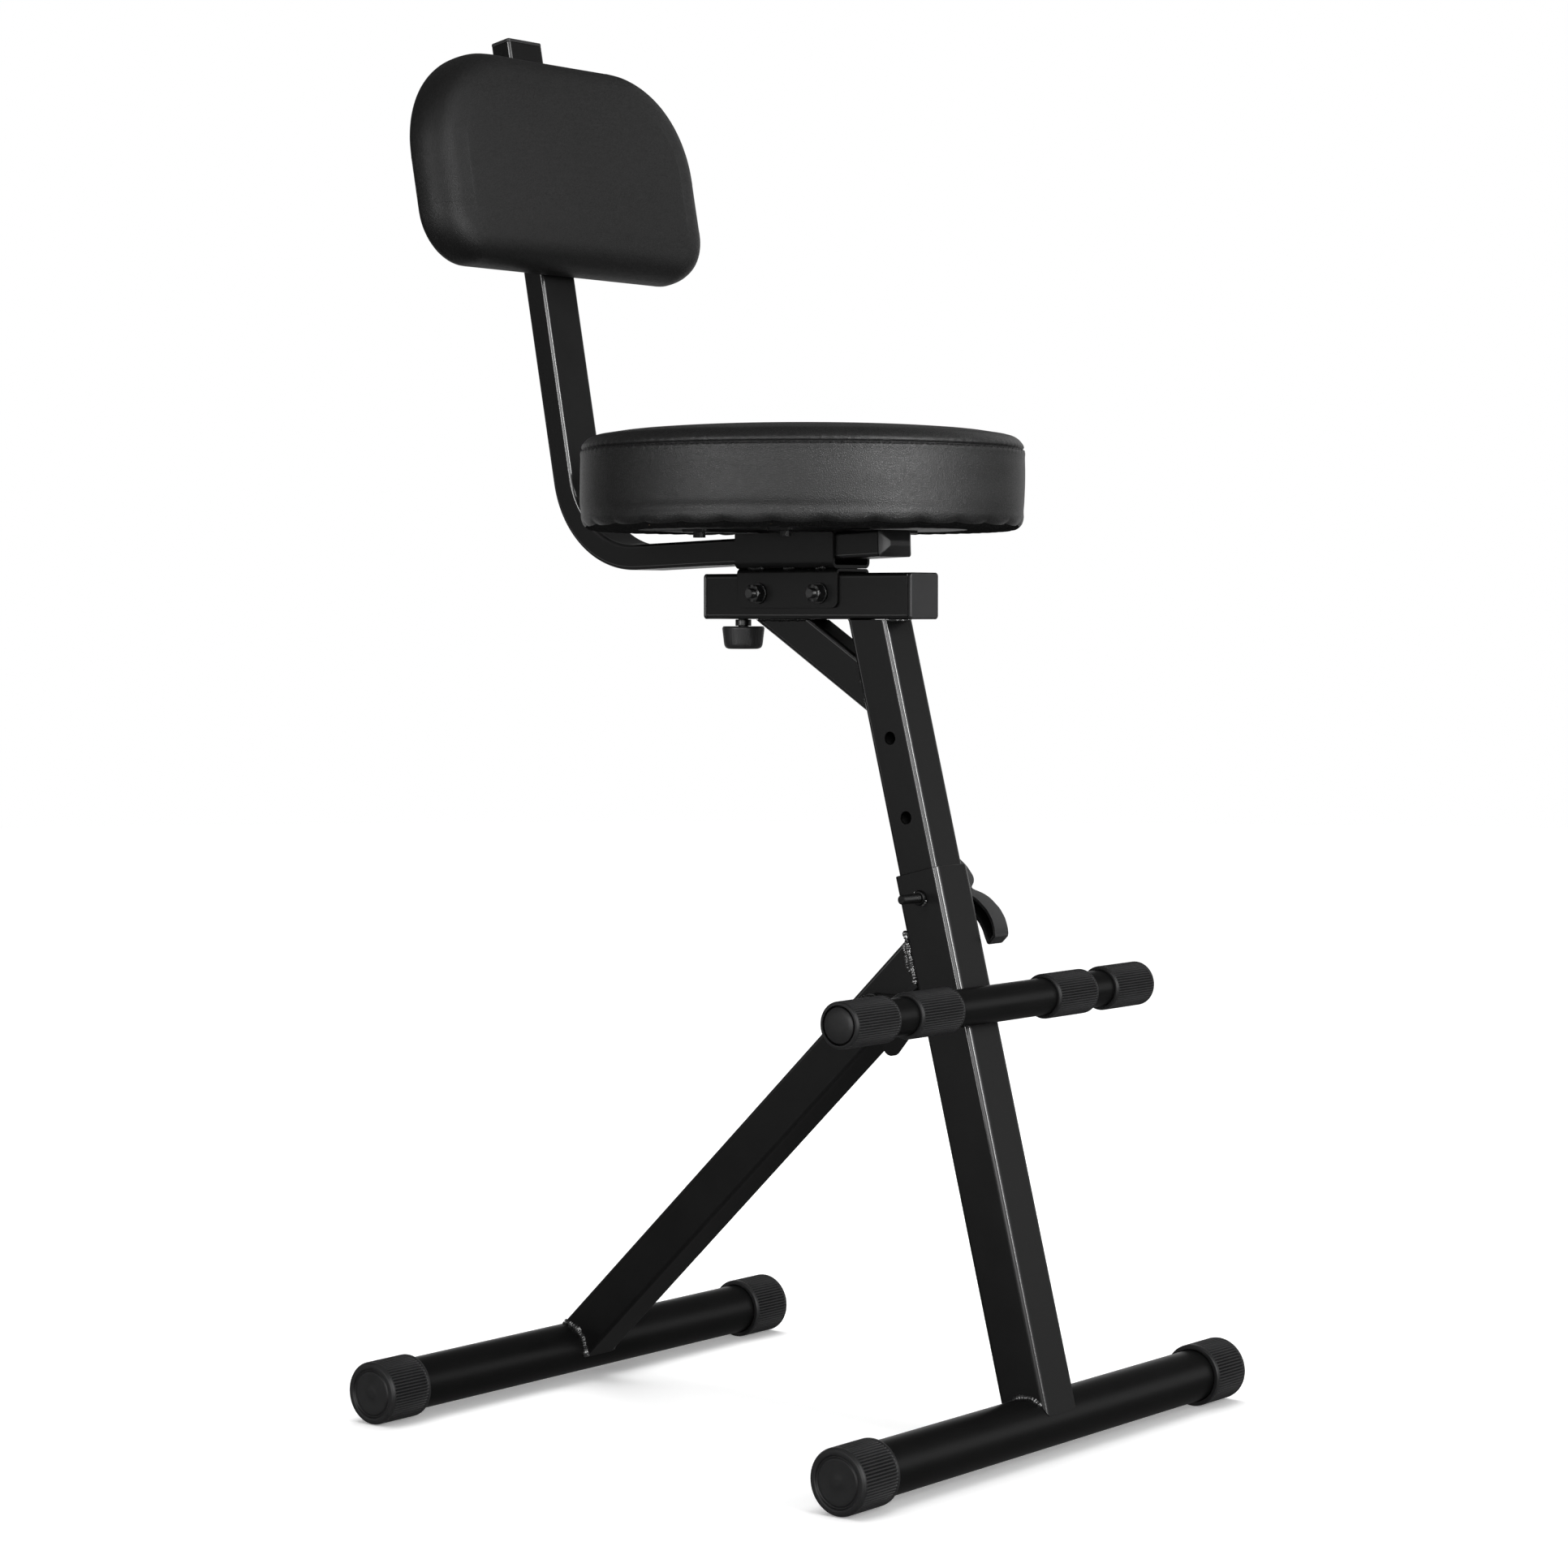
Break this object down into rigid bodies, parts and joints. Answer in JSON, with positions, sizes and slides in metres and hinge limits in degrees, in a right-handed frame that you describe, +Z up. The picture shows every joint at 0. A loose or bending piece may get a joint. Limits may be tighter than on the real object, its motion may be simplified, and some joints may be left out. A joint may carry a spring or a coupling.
{
  "type": "guitar stool",
  "caption": "Guitar stool with scissor-shaped steel legs, a footrest bar, a sliding post under a round padded seat, and a padded backrest on a bent tube that slides under the seat.",
  "frame": {"origin": "on the floor, at the middle of the bounding box", "axes": "+Z up, +X to the sitter's left, +Y from the front foot towards the backrest"},
  "size_m": [0.496, 0.5614, 1.0817],
  "materials": {
    "powder_coat": "satin black powder coat",
    "black_zinc": "black zinc plated",
    "rubber": "matt black, ribbed lengthwise",
    "nylon": "fine matt black",
    "leatherette": "black, pebble-grained, soft sheen",
    "plywood": "bare plywood"
  },
  "bodies": {
    "base": {"front_foot_tube": "powder_coat", "rear_foot_tube": "powder_coat", "front_left_foot_cap": "rubber", "front_right_foot_cap": "rubber", "rear_left_foot_cap": "rubber", "rear_right_foot_cap": "rubber", "front_leg": "powder_coat", "rear_leg": "powder_coat", "footrest_bar": "powder_coat", "left_outer_grip": "rubber", "left_inner_grip": "rubber", "right_outer_grip": "rubber", "right_inner_grip": "rubber", "left_bar_plug": "nylon", "right_bar_plug": "nylon", "left_footrest_plate": "powder_coat", "right_footrest_plate": "powder_coat", "left_footrest_spacer": "black_zinc", "right_footrest_spacer": "black_zinc", "footrest_bolt": "black_zinc", "footrest_nut": "black_zinc", "height_weld_nut": "powder_coat"},
    "height_bolt": {"height_bolt_end": "black_zinc", "height_bolt_shank": "black_zinc", "t_handle": "nylon"},
    "seat_post": {"inner_post": "powder_coat", "post_guide_plug": "nylon", "seat_beam": "powder_coat", "beam_front_plug": "nylon", "beam_rear_plug": "nylon", "gusset_brace": "powder_coat", "saddle_bracket": "powder_coat", "saddle_front_bolt": "black_zinc", "saddle_front_nut": "black_zinc", "saddle_rear_bolt": "black_zinc", "saddle_rear_nut": "black_zinc", "cradle_bracket": "powder_coat", "front_seat_bar": "powder_coat", "rear_seat_bar": "powder_coat", "seat_board": "plywood", "seat_cushion": "leatherette", "seat_screw_front_left": "black_zinc", "seat_screw_front_right": "black_zinc", "seat_screw_rear_left": "black_zinc", "seat_screw_rear_right": "black_zinc", "depth_weld_nut": "black_zinc"},
    "depth_clamp": {"depth_knob": "nylon", "depth_stud": "black_zinc"},
    "backrest": {"backrest_tube": "powder_coat", "tube_front_plug": "nylon", "tube_top_plug": "nylon"},
    "pad": {"backrest_board": "plywood", "backrest_pad": "leatherette", "pad_bracket": "powder_coat", "pad_screw_left": "black_zinc", "pad_screw_right": "black_zinc", "pad_weld_nut": "black_zinc"},
    "pad_clamp": {"pad_knob": "nylon", "pad_stud": "black_zinc"}
  },
  "joints": [
    {"name": "seat_height", "type": "slide", "parent": "base", "child": "seat_post", "axis": [0, 0.247, 0.969], "range_m": [-0.122, 0.122]},
    {"name": "height_bolt_turn", "type": "hinge", "parent": "base", "child": "height_bolt", "pos_m": [0, -0.15914, 0.40676], "axis": [1, 0, 0], "continuous": true},
    {"name": "depth_knob_turn", "type": "hinge", "parent": "seat_post", "child": "depth_clamp", "pos_m": [0, 0.02645, 0.6139], "axis": [0, 0, 1], "continuous": true},
    {"name": "backrest_depth", "type": "slide", "parent": "seat_post", "child": "backrest", "axis": [0, 0.9994, -0.0349], "range_m": [-0.02, 0.045]},
    {"name": "backrest_height", "type": "slide", "parent": "backrest", "child": "pad", "axis": [0, 0.184, 0.9829], "range_m": [-0.08, 0.02]},
    {"name": "pad_knob_turn", "type": "hinge", "parent": "pad", "child": "pad_clamp", "pos_m": [0, 0.25573, 0.96832], "axis": [0, -0.9829, 0.184], "continuous": true}
  ]
}
